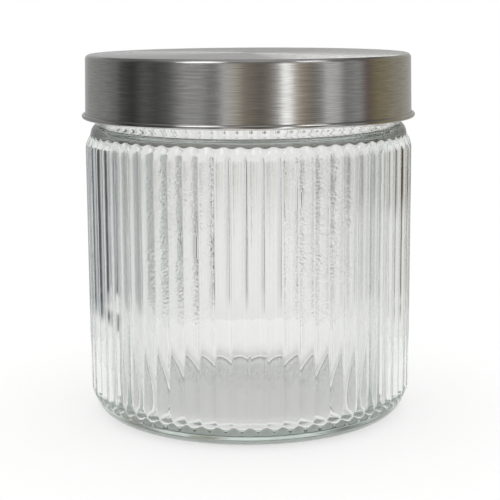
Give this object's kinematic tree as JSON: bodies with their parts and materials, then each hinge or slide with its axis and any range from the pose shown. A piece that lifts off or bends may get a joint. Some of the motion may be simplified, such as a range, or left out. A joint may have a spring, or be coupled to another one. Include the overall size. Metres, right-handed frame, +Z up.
{
  "type": "glass storage jar",
  "caption": "Round clear glass storage jar with upright ribs, a smooth heel and shoulder, and a push-on brushed steel lid with a rolled edge.",
  "frame": {"origin": "centre of the foot ring, on the plane the jar stands on", "axes": "+Z up along the jar's axis, -Y towards the front; X across"},
  "size_m": [0.112, 0.112, 0.122],
  "materials": {
    "clear_glass": "clear pressed glass, very faintly grey green where it is thick",
    "lid_steel": "stainless steel sheet with fine brushing that runs round the skirt"
  },
  "bodies": {
    "root": {"glass_jar": "clear_glass", "steel_lid": "lid_steel"}
  },
  "joints": []
}
